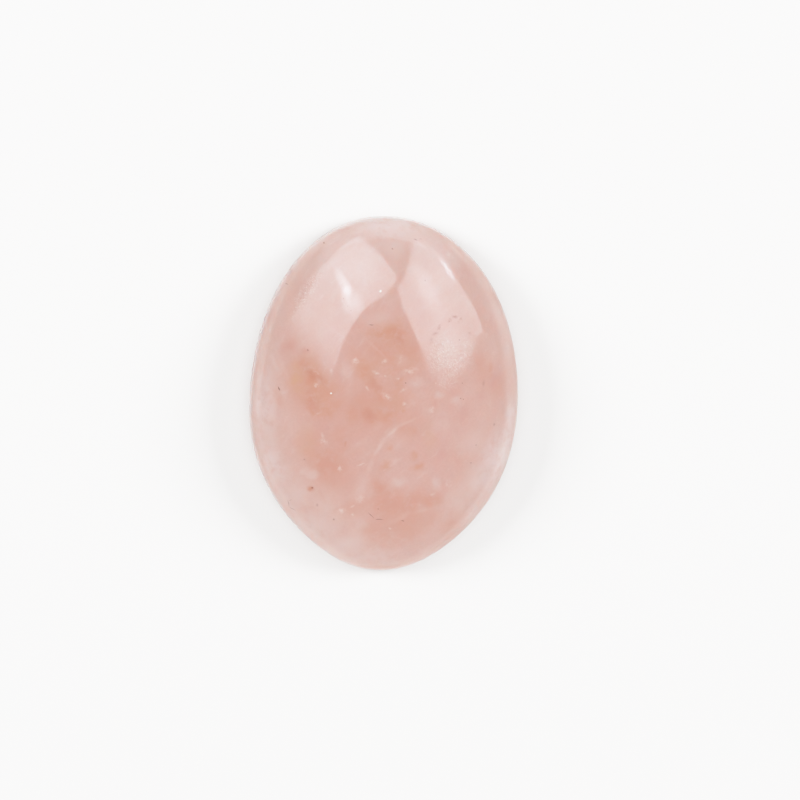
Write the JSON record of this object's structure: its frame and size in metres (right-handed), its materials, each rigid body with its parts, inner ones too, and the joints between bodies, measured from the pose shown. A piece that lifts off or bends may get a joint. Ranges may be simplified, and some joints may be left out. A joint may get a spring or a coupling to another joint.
{
  "type": "rose quartz cabochon",
  "caption": "Polished oval rose quartz stone with a low dome, a narrow girdle, a small bevel and a flat back.",
  "frame": {"origin": "middle of the flat back, at the bottom of the stone as it lies", "axes": "+Z out of the dome, +Y along the stone, +X across it"},
  "size_m": [0.0302, 0.04, 0.0075],
  "materials": {
    "rose_quartz": "polished, milky and translucent, pale pink with orange-pink clouds and fine white veils"
  },
  "bodies": {
    "root": {"rose_quartz_stone": "rose_quartz"}
  },
  "joints": []
}
